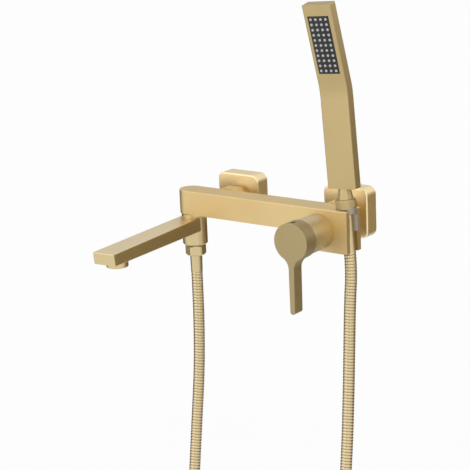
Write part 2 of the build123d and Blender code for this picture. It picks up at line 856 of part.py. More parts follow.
def make_aerator_insert():
    """Plastic flow former with a square grid."""
    low = aerator_web - aerator_proud
    body = rod(aerator_insert_radius, low, low + aerator_insert_height)
    pitch = aerator_cell + aerator_web
    cell = Pos(0, 0, low) * Box(aerator_cell, aerator_cell, aerator_insert_height)
    cells = GridLocations(pitch, pitch, aerator_cells_across, aerator_cells_across)
    return aerator_at(body - (Part() + [place * cell for place in cells]))


def make_aerator_seal():
    """Rubber washer above the aerator."""
    low = aerator_sunk - 2 * aerator_web
    bore_radius = aerator_bore_radius - aerator_web
    return aerator_at(tube(aerator_radius - thin_gap, bore_radius, low, aerator_sunk))


def make_outlet_nipple():
    """Nipple screwed up into the pillar; its flange holds the spout, its thread takes the hose."""
    flange_top = nipple_flange_bottom_z + nipple_flange_height
    nipple = turned([
        (nipple_bore_radius, nipple_end_z),
        (nipple_thread_radius, nipple_end_z),
        (nipple_thread_radius, nipple_flange_bottom_z),
        (nipple_flange_radius, nipple_flange_bottom_z),
        (nipple_flange_radius, flange_top),
        (pillar_bore_radius, flange_top),
        (pillar_bore_radius, flange_top + nipple_spigot_length),
        (nipple_bore_radius, flange_top + nipple_spigot_length),
    ])
    return on_spout_axis(nipple)


def make_outlet_check_valve():
    """Cartridge check valve inside the nipple."""
    low = nipple_end_z + part_gap
    valve = turned([
        (0, low),
        (nipple_bore_radius / 2, low),
        (nipple_bore_radius - thin_gap, low + check_valve_length / 3),
        (nipple_bore_radius - thin_gap, low + check_valve_length),
        (0, low + check_valve_length),
    ])
    return on_spout_axis(valve)


# Hose and its fittings


def make_hose_nut():
    """Hexagon nut of the hose, with a lip behind the ferrule's flange."""
    low = hose_nut_bottom_z
    high = hose_nut_top_z
    nut = hex_blank(hose_nut_flats, hose_nut_corner_radius, hose_nut_chamfer, low, high)
    nut = nut - rod(nipple_thread_radius + thin_gap, hose_seat_z, high + overrun)
    nut = nut - rod(ferrule_top_radius + thin_gap, low - overrun, high)
    return on_spout_axis(Rot(0, 0, hose_nut_turn_deg) * nut)


def make_hose_ferrule():
    """Tapered ferrule under the nut, with the flange that seals."""
    end = hose_nut_bottom_z - ferrule_length
    ferrule = turned([
        (hose_bore_radius, end),
        (hose_radius + thin_gap, end),
        (ferrule_top_radius, hose_nut_bottom_z),
        (ferrule_top_radius, hose_seat_z),
        (ferrule_flange_radius, hose_seat_z),
        (ferrule_flange_radius, hose_seat_z + ferrule_flange_height),
        (hose_bore_radius, hose_seat_z + ferrule_flange_height),
    ])
    return on_spout_axis(ferrule)


def make_hose_washer():
    """Rubber washer between ferrule and nipple."""
    low = hose_seat_z + ferrule_flange_height
    high = low + hose_washer_height
    return on_spout_axis(tube(ferrule_flange_radius, hose_washer_bore, low, high))


def hose_path():
    """Straight runs joined by arcs as large as the runs allow, square to both ferrules."""
    start_z = hose_nut_bottom_z - ferrule_length
    start = Vector(spout_x, -bar_mid_out, start_z)
    start_run = start - Vector(0, 0, hose_end_run)
    end_run = leaning(Pos(0, 0, -end_ferrule_drop - hose_end_run)).position
    end = leaning(Pos(0, 0, -end_ferrule_drop)).position
    points = [start, start_run] + [Vector(*point) for point in hose_route] + [end_run, end]
    radii = []
    for before, corner, after in zip(points, points[1:], points[2:]):
        run = min((corner - before).length, (after - corner).length)
        turn = math.radians((corner - before).get_angle(after - corner))
        radii.append(hose_arc_share * run / math.tan(turn / 2))
    print("hose's tightest arc", round(min(radii), 1))
    return FilletPolyline(*points, radius=radii)


def hose_section(path, length, radius):
    """Circle square to the hose at a length along its path, on a steady X axis."""
    along = length / path.length
    return Plane(path @ along, x_dir=(0, 1, 0), z_dir=path % along) * Circle(radius)


def make_shower_hose():
    """Ribbed hose with its bore, from the outlet's ferrule to the hand shower's ferrule."""
    path = hose_path()
    pitch = (path.length - 2 * hose_end_collar) / hose_rib_count
    radii = (hose_groove_radius, hose_radius, hose_radius)
    sections = [hose_section(path, 0, hose_radius)]
    sections.append(hose_section(path, hose_end_collar, hose_radius))
    for rib in range(hose_rib_count):
        low = hose_end_collar + rib * pitch
        for share, radius in zip(hose_rib_shares, radii):
            sections.append(hose_section(path, low + share * pitch, radius))
    sections.append(hose_section(path, path.length - hose_end_collar, hose_radius))
    sections.append(hose_section(path, path.length, hose_radius))
    skin = loft(sections, ruled=True)
    bore = sweep(hose_section(path, 0, hose_bore_radius), path)
    print("hose length", round(path.length, 1), "rib pitch", round(pitch, 2))
    return skin - bore


# Hand shower


def make_handset_ferrule():
    """Ferrule at the hand shower's end, with the liner and flange inside the cone nut."""
    ferrule = turned([
        (hose_bore_radius, -end_ferrule_drop),
        (end_ferrule_radius, -end_ferrule_drop),
        (end_ferrule_radius, -nut_tail_drop - part_gap),
        (liner_radius, -nut_tail_drop - part_gap),
        (liner_radius, liner_seat_height + part_gap),
        (ferrule_flange_radius, liner_seat_height + part_gap),
        (ferrule_flange_radius, liner_seat_height + part_gap + ferrule_flange_height),
        (hose_bore_radius, liner_seat_height + part_gap + ferrule_flange_height),
    ])
    return leaning(ferrule)


def make_cone_nut():
    """Nut with a finely knurled collar and a slim tail through the holder."""
    top = collar_lift + collar_height
    nut = turned([
        (liner_radius + part_gap, -nut_tail_drop),
        (cone_neck_radius, -nut_tail_drop),
        (cone_neck_radius, collar_lift),
        (collar_radius, collar_lift),
        (collar_radius, top),
        (neck_thread_radius + thin_gap, top),
        (neck_thread_radius + thin_gap, liner_seat_height),
        (liner_radius + part_gap, liner_seat_height),
    ])
    return leaning(nut)


def make_cone_sleeve():
    """Plastic cone that seats in the holder's insert."""
    sleeve = turned([
        (cone_neck_radius, -cone_sleeve_drop),
        (cone_sleeve_tip_radius, -cone_sleeve_drop),
        (cone_sleeve_top_radius, collar_lift),
        (cone_neck_radius, collar_lift),
    ])
    return leaning(sleeve)


def neck_start():
    """Height where the neck's thread begins, above the washer."""
    return liner_seat_height + part_gap + ferrule_flange_height + thin_gap + hose_washer_height


def make_handset_washer():
    """Rubber washer between hose and hand shower."""
    high = neck_start()
    return leaning(tube(ferrule_flange_radius, hose_washer_bore, high - hose_washer_height, high))


def make_handset_neck():
    """Threaded neck with a faceted taper under the stick."""
    low = neck_start()
    cone_low = collar_lift + collar_height + thin_gap
    thread = rod(neck_thread_radius, low, cone_low)
    cone = turned([
        (0, cone_low),
        (neck_bottom_radius, cone_low),
        (neck_top_radius, stick_bottom),
        (0, stick_bottom),
    ])
    low_flats = neck_bottom_radius * neck_facet_share
    top_flats = neck_top_radius * neck_facet_share
    low_face = RegularPolygon(low_flats, neck_face_count, major_radius=False)
    top_face = RegularPolygon(top_flats, neck_face_count, major_radius=False)
    facets = [Plane.XY.offset(cone_low) * low_face, Plane.XY.offset(stick_bottom) * top_face]
    faceted = cone & loft(facets, ruled=True)
    spigot_top = stick_bottom + neck_spigot_height
    neck = thread + faceted + rod(neck_spigot_radius, stick_bottom, spigot_top)
    neck = neck - rod(neck_bore_radius, low - overrun, low + limiter_height)
    neck = neck - rod(neck_spigot_bore, low, spigot_top + overrun)
    return leaning(neck)


def make_flow_limiter():
    """Flow limiter in the neck's mouth."""
    low = neck_start()
    high = low + limiter_height
    return leaning(tube(neck_bore_radius - thin_gap, neck_spigot_bore / 2, low, high))


def stick_profile(inset, bottom):
    """Side outline of the stick: upright below, bent forward above."""
    bend = math.radians(head_bend_deg)
    half = stick_depth / 2 - inset
    head = head_length - inset
    front_bend = stick_bend + inset * math.tan(bend / 2)
    back_bend = stick_bend + (stick_depth - inset) * math.tan(bend / 2)
    lean = Vector(-math.sin(bend) * head, math.cos(bend) * head)
    across = Vector(math.cos(bend), math.sin(bend)) * (2 * half)
    front_corner = Vector(-stick_depth / 2, stick_bend)
    inner = Vector(math.cos(bend), math.sin(bend)) * inset
    top_front = front_corner + inner + lean
    top_back = top_front + across
    path = [
        (0, -half, bottom),
        (0, -half, front_bend),
        (0, top_front.X, top_front.Y),
        (0, top_back.X, top_back.Y),
        (0, half, back_bend),
        (0, half, bottom),
    ]
    face = make_face(Polyline(*path, close=True))
    front = face.vertices().sort_by_distance((0, -half, front_bend))[0]
    back = face.vertices().sort_by_distance((0, half, back_bend))[0]
    return fillet([front, back], bend_radius)


def make_handset_shell():
    """Hollow flat stick with a window for the nozzle plate."""
    half = stick_width / 2
    shell = extrude(stick_profile(0, stick_bottom), half, both=True)
    sides = shell.faces().filter_by(Axis.X)
    shell = fillet(sides[0].edges() + sides[1].edges(), stick_edge_radius)
    inside = stick_profile(stick_wall, stick_bottom + stick_floor)
    shell = shell - extrude(inside, half - stick_wall, both=True)
    window = Box(plate_width + 2 * thin_gap, stick_depth, plate_height + 2 * thin_gap)
    shell = shell - on_head(window)
    spigot_top = stick_bottom + neck_spigot_height + thin_gap
    shell = shell - rod(neck_spigot_radius + thin_gap, stick_bottom - overrun, spigot_top)
    return leaning(shell)


def on_head(part):
    """Put a piece at the centre of the nozzle plate, on the head's front face, -Y outwards."""
    bend = math.radians(head_bend_deg)
    along = plate_start + plate_height / 2
    y = -stick_depth / 2 - math.sin(bend) * along
    z = stick_bend + math.cos(bend) * along
    return Pos(0, y, z) * Rot(head_bend_deg, 0, 0) * part


def nozzle_places():
    """Grid of nozzle axes on the plate, pointing outwards."""
    grid = GridLocations(nozzle_pitch_x, nozzle_pitch_y, nozzle_columns, nozzle_rows)
    return [Rot(90, 0, 0) * place for place in grid]


def make_nozzle_plate():
    """Black plate with a hole for each nozzle."""
    plate = extrude(RectangleRounded(plate_width, plate_height, plate_corner_radius), plate_thickness)
    plate = Pos(0, plate_thickness - plate_proud, 0) * Rot(90, 0, 0) * plate
    outline = RegularPolygon(nozzle_radius + nozzle_hole_gap, nozzle_sides)
    hole = extrude(outline, plate_thickness + overrun, both=True)
    return leaning(on_head(plate - (Part() + [place * hole for place in nozzle_places()])))


def make_nozzle_membrane():
    """Soft sheet behind the plate with a nipple through each hole."""
    width = plate_width - membrane_margin
    height = plate_height - membrane_margin
    back = plate_thickness - plate_proud
    sheet = Pos(0, back + membrane_thickness / 2, 0) * Box(width, membrane_thickness, height)
    root = RegularPolygon(nozzle_radius, nozzle_sides)
    tip = RegularPolygon(nozzle_radius * nozzle_tip_share, nozzle_sides)
    root = Plane.XY.offset(-back - membrane_thickness / 2) * root
    tip = Plane.XY.offset(plate_proud + nozzle_proud) * tip
    nipple = loft([root, tip], ruled=True)
    return leaning(on_head(sheet + [place * nipple for place in nozzle_places()]))


def main():
    """Make and save every sub-part."""
    os.makedirs("parts", exist_ok=True)
    for side, side_x in (("left", left_x), ("right", right_x)):
        save("s_union_" + side, make_s_union(side_x))
        save("rosette_" + side, make_rosette(side_x))
        save("union_nut_" + side, make_union_nut(side_x))
        save("inlet_tail_" + side, make_inlet_tail(side_x))
        save("union_washer_" + side, make_union_washer(side_x))
    save("body_casting", make_body_casting())
    save("holder_insert", make_holder_insert())
    save("cartridge_seal", make_cartridge_seal())
    save("cartridge_housing", make_cartridge_housing())
    save("fixed_disc", make_fixed_disc())
    save("moving_disc", make_moving_disc())
    save("disc_carrier", make_disc_carrier())
    save("cartridge_nut", make_cartridge_nut())
    save("cartridge_rotor", make_cartridge_rotor())
    save("lift_pin", make_lift_pin())
    save("lever_stem", make_lever_stem())
    save("lever_sleeve", make_lever_sleeve())
    save("lever_handle", make_lever_handle())
    save("lever_grub_screw", make_lever_grub_screw())
    save("spout_pillar", make_spout_pillar())
    save("pillar_o_rings", make_pillar_o_rings())
    save("spout_glide_ring", make_spout_glide_ring())
    save("spout_arm", make_spout_arm())
    save("aerator_housing", make_aerator_housing())
    save("aerator_insert", make_aerator_insert())
    save("aerator_seal", make_aerator_seal())
    save("outlet_nipple", make_outlet_nipple())
    save("outlet_check_valve", make_outlet_check_valve())
    save("hose_nut", make_hose_nut())
    save("hose_washer", make_hose_washer())
    save("hose_ferrule", make_hose_ferrule())
    save("shower_hose", make_shower_hose())
    save("handset_ferrule", make_handset_ferrule())
    save("cone_nut", make_cone_nut())
    save("cone_sleeve", make_cone_sleeve())
    save("handset_washer", make_handset_washer())
    save("flow_limiter", make_flow_limiter())
    save("handset_neck", make_handset_neck())
    save("handset_shell", make_handset_shell())
    save("nozzle_plate", make_nozzle_plate())
    save("nozzle_membrane", make_nozzle_membrane())


main()
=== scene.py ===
import math

import bmesh
import bpy
from mathutils import Matrix, Vector


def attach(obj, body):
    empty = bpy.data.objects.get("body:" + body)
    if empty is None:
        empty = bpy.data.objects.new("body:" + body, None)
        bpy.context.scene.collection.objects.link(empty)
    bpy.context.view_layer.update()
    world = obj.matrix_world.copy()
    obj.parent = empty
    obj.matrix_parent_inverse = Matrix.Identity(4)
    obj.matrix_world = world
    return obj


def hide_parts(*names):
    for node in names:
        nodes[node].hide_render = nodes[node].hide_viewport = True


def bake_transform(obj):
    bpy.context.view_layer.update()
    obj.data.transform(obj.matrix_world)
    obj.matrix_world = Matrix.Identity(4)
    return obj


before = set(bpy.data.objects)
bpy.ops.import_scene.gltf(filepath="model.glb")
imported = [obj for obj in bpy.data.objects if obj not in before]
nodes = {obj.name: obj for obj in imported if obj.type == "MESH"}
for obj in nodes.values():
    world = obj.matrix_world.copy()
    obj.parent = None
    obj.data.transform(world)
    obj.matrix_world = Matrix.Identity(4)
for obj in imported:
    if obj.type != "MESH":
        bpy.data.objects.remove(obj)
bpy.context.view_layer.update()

# Looks of a wall-mounted bath shower mixer. Metres, in the frame of the CAD model:
# +X to the right along the bar, +Y into the wall, +Z up.

# Photograph and camera
PICTURE_WIDTH_PX = 470
FOCAL_PX = 1644.05
SENSOR_WIDTH_MM = 36.0
CAMERA_PLACE = Vector((1.058256, -1.537566, 0.455124))
CAMERA_AZIMUTH = math.radians(36.92)
CAMERA_ELEVATION = math.radians(14.98)
CAMERA_ROLL = math.radians(-2.43)

# Floor, well below the hose's loop
FLOOR_Z = -0.66
FLOOR_SIZE = 40.0
FLOOR_WHITE_SHARE = 0.97
# Light: world for rays that don't show the background, and lamps by name, place, size and watts
WORLD_STRENGTH = 0.5
LAMP_AIM = (0, -0.05, -0.05)
LAMPS = [
    ("key", (-1.1, -2.7, 1.0), (2.8, 2.0), 17),
    ("fill", (2.2, -2.0, 0.8), (1.6, 1.6), 6),
]
# Cards beside the object, out of the picture: place, width, height above the floor and colour
CARD_LIGHT = (0.52, 0.41, 0.225)
CARD_DARK = (0.22, 0.16, 0.08)
CARDS = [
    ((0.57, 0.64, FLOOR_Z), 1.10, 0.80, CARD_LIGHT),
    ((-0.26, 0.86, FLOOR_Z), 0.9, 0.80, CARD_DARK),
    ((-0.87, 0.20, FLOOR_Z), 1.2, 0.74, CARD_DARK),
]

# Hose: ribbed metal, on the CAD route's points
HOSE_RADIUS = 0.0068
HOSE_ROUTE = [
    (-0.11565, -0.0540, -0.0931),
    (-0.11565, -0.0540, -0.1161),
    (-0.1157, -0.0546, -0.1600),
    (-0.1171, -0.0570, -0.2200),
    (-0.1201, -0.0640, -0.2900),
    (-0.1203, -0.0800, -0.4000),
    (-0.1140, -0.0900, -0.4950),
    (-0.0880, -0.0960, -0.5680),
    (-0.0380, -0.0970, -0.6070),
    (0.0180, -0.0930, -0.6060),
    (0.0620, -0.0850, -0.5620),
    (0.0840, -0.0780, -0.4850),
    (0.0930, -0.0705, -0.3800),
    (0.0970, -0.0620, -0.2800),
    (0.0979, -0.0570, -0.2100),
    (0.0990, -0.0546, -0.1500),
    (0.1008, -0.0540, -0.1000),
    (0.103853, -0.0540, -0.062577),
    (0.102248, -0.0540, -0.039633),
]
RIB_PITCH = 0.0036
RIB_GROOVE_DEPTH = 0.0006
RIB_SIDES = 28
# A rib's outline along its pitch: share of the pitch, share of the groove's depth below the crest
RIB_OUTLINE_SHARES = [
    (0.0, 1.0), (0.08, 0.95), (0.18, 0.35), (0.35, 0.05), (0.55, 0.0), (0.75, 0.12), (0.9, 0.55),
]

# Hand shower head, in the hand shower's own frame
HOLDER_PLACE = Vector((0.0989, -0.054, 0.00825))
HOLDER_LEAN = math.radians(4.0)
STICK_BEND = 0.133
STICK_DEPTH = 0.0123
HEAD_BEND = math.radians(12.2)
PLATE_WIDTH = 0.0268
PLATE_HEIGHT = 0.0654
PLATE_START = 0.0193
PLATE_PROUD = 0.0003
PLATE_THICKNESS = 0.0024
PLATE_CORNER = 0.001
NOZZLE_COLUMNS = 4
NOZZLE_ROWS = 11
NOZZLE_PITCH_X = (PLATE_WIDTH - 2 * 0.0038) / (NOZZLE_COLUMNS - 1)
NOZZLE_PITCH_Z = (PLATE_HEIGHT - 2 * 0.00355) / (NOZZLE_ROWS - 1)
NOZZLE_RADIUS = 0.00145
NOZZLE_HEIGHT = 0.0009
NOZZLE_SIDES = 20
NOZZLE_TIP_SHARE = 0.85
NOZZLE_OUTLET_SHARE = 0.42

# Knurled collar of the cone nut
COLLAR_RADIUS = 0.01125
COLLAR_LOW = 0.001
COLLAR_HEIGHT = 0.0104
KNURL_COUNT = 72
KNURL_DEPTH = 0.00022
KNURL_MARGIN = 0.0011
KNURL_LEAD = 0.0005
KNURL_ROOT_HEIGHT = 0.00004

# Lower ends of the holder insert's legs, in the holder's upright frame
LEG_HALF = 0.0083
LEG_WALL = 0.0012
LEG_REACH = 0.009
LEG_HIGH = -0.0215
LEG_LOW = -0.026
LEG_ARC_STEPS = 24


# Materials


class Shader:
    """A Principled material and short ways to add nodes to it."""

    def __init__(self, name, color, roughness, metallic=0.0, **sockets):
        self.material = bpy.data.materials.new(name)
        self.material.use_nodes = True
        self.material.diffuse_color = (*color, 1)
        self.tree = self.material.node_tree
        self.shader = self.tree.nodes["Principled BSDF"]
        self.shader.inputs["Base Color"].default_value = (*color, 1)
        self.shader.inputs["Roughness"].default_value = roughness
        self.shader.inputs["Metallic"].default_value = metallic
        for socket, value in sockets.items():
            self.shader.inputs[socket.replace("_", " ")].default_value = value
        self.place = self.tree.nodes.new("ShaderNodeTexCoord").outputs["Object"]

    def add(self, kind, **values):
        """New node with its inputs and settings filled in by name."""
        node = self.tree.nodes.new("ShaderNode" + kind)
        for name, value in values.items():
            socket = node.inputs.get(name.replace("_", " "))
            if socket is None:
                setattr(node, name, value)
            elif isinstance(value, bpy.types.NodeSocket):
                self.tree.links.new(value, socket)
            else:
                socket.default_value = value
        return node

    def noise(self, stretch, scale, detail=3.0):
        """Noise stretched along the row frame's axes, as brushing or grain."""
        mapping = self.add("Mapping", Vector=self.place, Scale=stretch)
        texture = self.add("TexNoise", Vector=mapping.outputs["Vector"], Scale=scale, Detail=detail)
        return texture.outputs["Fac"]

    def between(self, factor, low, high):
        """A number that goes from low to high as the factor goes over its middle range."""
        node = self.add("MapRange", Value=factor, From_Min=0.3, From_Max=0.7, To_Min=low, To_Max=high)
        return node.outputs["Result"]

    def tint(self, factor, low, high):
        """A colour between two colours."""
        ramp = self.add("ValToRGB", Fac=factor)
        ramp.color_ramp.elements[0].position = 0.3
        ramp.color_ramp.elements[0].color = (*low, 1)
        ramp.color_ramp.elements[1].position = 0.7
        ramp.color_ramp.elements[1].color = (*high, 1)
        return ramp.outputs["Color"]

    def set(self, socket, value):
        self.tree.links.new(value, self.shader.inputs[socket])

    def bump(self, height, distance, strength=1.0):
        node = self.add("Bump", Height=height, Distance=distance, Strength=strength)
        self.set("Normal", node.outputs["Normal"])


# Base colours of the one gold finish. GOLD is the bar's; the copies below are that same gold made lighter on
# the rosettes as painted light, and darker on the sleeve, handset stick (and its knurl) and lever and greyer
# on the spout as painted shade.
GOLD = (0.70, 0.53, 0.265)
GOLD_ROSETTE_PAINTED_LIGHT = (0.90, 0.735, 0.425)
GOLD_SLEEVE_PAINTED_SHADE = (0.64, 0.515, 0.295)
GOLD_SPOUT_PAINTED_SHADE = (0.66, 0.535, 0.30)
GOLD_STICK_PAINTED_SHADE = (0.515, 0.40, 0.198)
GOLD_LEVER_PAINTED_SHADE = (0.42, 0.33, 0.175)
GRAZING_GOLD = (0.55, 0.62, 0.75, 1)
GRAZING_SPOUT = (0.85, 0.88, 0.95, 1)
# Brushing of the gold: how far it runs, its scale and depth, and the cloudiness over it
BRUSH_ALONG_SHARE = 0.04
BRUSH_SCALE = 2600.0
BRUSH_DEPTH = 0.00002
BRUSH_ROUGHNESS_SPREAD = 0.06
CLOUD_SCALE = 14.0
CLOUD_LIGHTER_SHARE = 1.06
# Crest of the hose, and the painted shade in the grooves between its ribs
HOSE_CREST_COLOR = (0.70, 0.57, 0.34)
HOSE_GROOVE_PAINTED_SHADE = (0.32, 0.25, 0.135)


def brushed_gold(name, along, color, roughness=0.36, grazing=GRAZING_GOLD):
    """Satin gold with fine brushing along one axis of the row frame."""
    metal = Shader(name, color, roughness, 1.0, Specular_Tint=grazing)
    stretch = tuple(BRUSH_ALONG_SHARE if axis == along else 1.0 for axis in "XYZ")
    grain = metal.noise(stretch, BRUSH_SCALE, 4.0)
    cloud = metal.noise((1.0, 1.0, 1.0), CLOUD_SCALE, 2.0)
    lighter = tuple(CLOUD_LIGHTER_SHARE * part for part in color)
    metal.set("Base Color", metal.tint(cloud, color, lighter))
    spread = BRUSH_ROUGHNESS_SPREAD
    metal.set("Roughness", metal.between(grain, roughness - spread, roughness + spread))
    metal.bump(grain, BRUSH_DEPTH, 0.5)
    return metal.material


def turned_metal(name, color, roughness):
    """Machined metal that doesn't show outside, with fine turning marks."""
    metal = Shader(name, color, roughness, 1.0)
    marks = metal.noise((1.0, 1.0, 1.0), 900.0, 5.0)
    metal.set("Roughness", metal.between(marks, roughness - 0.08, roughness + 0.1))
    metal.bump(marks, 0.00003, 0.4)
    return metal.material


def moulded(name, color, roughness, grain_size, grain_depth):
    """Moulded plastic, rubber or ceramic with a fine matt grain and slight colour variation."""
    stuff = Shader(name, color, roughness)
    grain = stuff.noise((1.0, 1.0, 1.0), grain_size, 3.0)
    cloud = stuff.noise((1.0, 1.0, 1.0), 30.0, 2.0)
    darker = tuple(0.93 * part for part in color)
    stuff.set("Base Color", stuff.tint(cloud, darker, color))
    stuff.set("Roughness", stuff.between(grain, roughness - 0.05, roughness + 0.05))
    stuff.bump(grain, grain_depth, 0.5)
    return stuff.material


def hose_metal():
    """Satin gold, with painted shade that darkens the grooves between the ribs."""
    metal = Shader("hose_gold", GOLD, 0.3, 1.0, Specular_Tint=GRAZING_GOLD)
    groove = metal.add("Attribute", attribute_name="groove").outputs["Fac"]
    # Painted shade in the grooves: darker where the groove is deeper, by the groove depth share.
    metal.set("Base Color", metal.tint(groove, HOSE_CREST_COLOR, HOSE_GROOVE_PAINTED_SHADE))
    marks = metal.noise((1.0, 1.0, 1.0), 700.0, 3.0)
    metal.set("Roughness", metal.between(marks, 0.24, 0.36))
    metal.bump(marks, 0.00003, 0.3)
    return metal.material


def make_materials():
    """One material per finish, by the name that the pieces use; the gold copies after the bar's carry painted
    light and painted shade in their base colours.
    """
    return {
        "gold_bar": brushed_gold("gold_brushed_along", "X", GOLD, 0.48),
        # Copies of the bar's gold: painted light on the rosettes, painted shade on the sleeve, spout, stick,
        # lever and knurl.
        "gold_rosette_painted_light": brushed_gold("gold_rosette_painted_light", "X", GOLD_ROSETTE_PAINTED_LIGHT, 0.4),
        "gold_sleeve_painted_shade": brushed_gold("gold_brushed_out_painted_shade", "Y", GOLD_SLEEVE_PAINTED_SHADE, 0.48),
        "gold_spout_painted_shade": brushed_gold("gold_spout_painted_shade", "Y", GOLD_SPOUT_PAINTED_SHADE, 0.36, GRAZING_SPOUT),
        "gold_stick_painted_shade": brushed_gold("gold_brushed_up_painted_shade", "Z", GOLD_STICK_PAINTED_SHADE, 0.46),
        "gold_lever_painted_shade": brushed_gold("gold_lever_painted_shade", "Z", GOLD_LEVER_PAINTED_SHADE, 0.54),
        "gold_knurl_painted_shade": brushed_gold("gold_knurl_painted_shade", "Z", GOLD_STICK_PAINTED_SHADE, 0.4),
        "hose": hose_metal(),
        "brass": turned_metal("raw_brass", (0.62, 0.46, 0.22), 0.35),
        "steel": turned_metal("pin_steel", (0.5, 0.5, 0.51), 0.35),
        "insert": moulded("insert_plastic", (0.70, 0.655, 0.665), 0.5, 1800.0, 0.00002),
        "cartridge": moulded("cartridge_plastic", (0.75, 0.75, 0.72), 0.45, 1500.0, 0.00002),
        "ceramic": moulded("disc_ceramic", (0.80, 0.77, 0.70), 0.15, 2500.0, 0.00001),
        "rubber": moulded("seal_rubber", (0.02, 0.02, 0.02), 0.6, 1200.0, 0.00002),
        "black": moulded("plate_plastic", (0.012, 0.012, 0.013), 0.35, 2200.0, 0.00001),
        "white": moulded("nozzle_rubber", (0.80, 0.80, 0.78), 0.55, 2000.0, 0.00001),
    }


# Gold pieces other than the bar get copies of its gold with painted light (rosettes) and painted shade
# (sleeve, spout, stick, lever).
NODE_FINISH = {
    "gold_bar": ["body_casting", "union_nut_left", "union_nut_right"],
    "gold_rosette_painted_light": ["rosette_left", "rosette_right"],
    "gold_sleeve_painted_shade": ["lever_sleeve"],
    "gold_spout_painted_shade": ["spout_arm", "aerator_housing", "hose_nut", "hose_ferrule", "handset_ferrule"],
    "gold_stick_painted_shade": ["cone_nut", "handset_neck", "handset_shell"],
    "gold_lever_painted_shade": ["lever_handle"],
    "brass": [
        "s_union_left", "s_union_right", "inlet_tail_left", "inlet_tail_right", "spout_pillar",
        "outlet_nipple", "cartridge_nut", "lever_stem",
    ],
    "steel": ["lift_pin", "lever_grub_screw"],
    "insert": ["holder_insert", "cone_sleeve"],
    "cartridge": [
        "cartridge_housing", "cartridge_rotor", "disc_carrier", "aerator_insert",
        "outlet_check_valve", "flow_limiter", "spout_glide_ring",
    ],
    "ceramic": ["fixed_disc", "moving_disc"],
    "rubber": [
        "cartridge_seal", "union_washer_left", "union_washer_right", "pillar_o_rings",
        "aerator_seal", "hose_washer", "handset_washer",
    ],
    "black": ["nozzle_plate"],
    "white": ["nozzle_membrane"],
    "hose": ["shower_hose"],
}


def smooth(mesh, degrees):
    """Smooth shading, with edges sharper than the angle kept."""
    mesh.shade_smooth()
    mesh.set_sharp_from_angle(angle=math.radians(degrees))


def dress_nodes(materials):
    """Give each CAD node its finish, smooth over its curves and sharp at its edges."""
    for finish, names in NODE_FINISH.items():
        for name in names:
            mesh = nodes[name].data
            mesh.materials.clear()
            mesh.materials.append(materials[finish])
            smooth(mesh, 32)


# Pieces


def new_piece(name, mesh, material):
    """Object for a finished mesh, with its material."""
    mesh.materials.append(material)
    piece = bpy.data.objects.new(name, mesh)
    bpy.context.scene.collection.objects.link(piece)
    return piece


def hose_centreline():
    """Points along the NURBS spline of the hose's route."""
    curve = bpy.data.curves.new("hose_route", "CURVE")
    curve.dimensions = "3D"
    curve.resolution_u = 40
    spline = curve.splines.new("NURBS")
    spline.points.add(len(HOSE_ROUTE) - 1)
    for point, place in zip(spline.points, HOSE_ROUTE):
        point.co = (*place, 1)
    spline.order_u = 3
    spline.use_endpoint_u = True
    holder = bpy.data.objects.new("hose_route", curve)
    line = bpy.data.meshes.new_from_object(holder)
    points = [vertex.co.copy() for vertex in line.vertices]
    bpy.data.objects.remove(holder)
    return points


class Line:
    """A polyline that gives the place and direction at a length along it."""

    def __init__(self, points):
        self.points = points
        self.lengths = [0.0]
        for before, after in zip(points, points[1:]):
            self.lengths.append(self.lengths[-1] + (after - before).length)
        self.length = self.lengths[-1]
        self.index = 0

    def at(self, length):
        while self.index < len(self.points) - 2 and self.lengths[self.index + 1] < length:
            self.index += 1
        start, end = self.points[self.index], self.points[self.index + 1]
        run = self.lengths[self.index + 1] - self.lengths[self.index]
        return start.lerp(end, (length - self.lengths[self.index]) / run), (end - start).normalized()


def hose_stations(length):
    """(length along the hose, radius, groove share) of each ring of the ribbed tube."""
    ribs = round(length / RIB_PITCH)
    pitch = length / ribs
    stations = []
    for rib in range(ribs):
        for along, depth in RIB_OUTLINE_SHARES:
            stations.append(((rib + along) * pitch, HOSE_RADIUS - depth * RIB_GROOVE_DEPTH, depth))
    stations.append((length, HOSE_RADIUS - RIB_GROOVE_DEPTH, 1.0))
    return stations


def make_hose(material):
    """Ribbed metal hose as one mesh tube along the route's spline."""
    points = hose_centreline()
    line = Line(points)
    vertices, faces, groove = [], [], []
    across = Vector((0, 1, 0))
    for station, radius, depth in hose_stations(line.length):
        place, direction = line.at(station)
        side = (across - direction * across.dot(direction)).normalized()
        across = side
        up = direction.cross(side)
        for step in range(RIB_SIDES):
            turn = 2 * math.pi * step / RIB_SIDES
            vertices.append(place + radius * (math.cos(turn) * side + math.sin(turn) * up))
            groove.append(depth)
    rings = len(vertices) // RIB_SIDES
    for ring in range(rings - 1):
        low = ring * RIB_SIDES
        for step in range(RIB_SIDES):
            near, far = low + step, low + (step + 1) % RIB_SIDES
            faces.append((near, far, far + RIB_SIDES, near + RIB_SIDES))
    mesh = bpy.data.meshes.new("hose")
    mesh.from_pydata(vertices, [], faces)
    mesh.attributes.new("groove", "FLOAT", "POINT").data.foreach_set("value", groove)
    mesh.shade_smooth()
    hose = new_piece("hose", mesh, material)
    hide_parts("shower_hose")
    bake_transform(hose)


def hand_shower_matrix():
    """From the hand shower's upright frame to the row frame."""
    return Matrix.Translation(HOLDER_PLACE) @ Matrix.Rotation(-HOLDER_LEAN, 4, "Y")


def head_matrix():
    """From the head's front, with -Y outwards and the plate's centre at zero, to the row frame."""
    along = PLATE_START + PLATE_HEIGHT / 2
    out = STICK_DEPTH / 2 + math.sin(HEAD_BEND) * along
    place = Vector((0, -out, STICK_BEND + math.cos(HEAD_BEND) * along))
    return hand_shower_matrix() @ Matrix.Translation(place) @ Matrix.Rotation(HEAD_BEND, 4, "X")


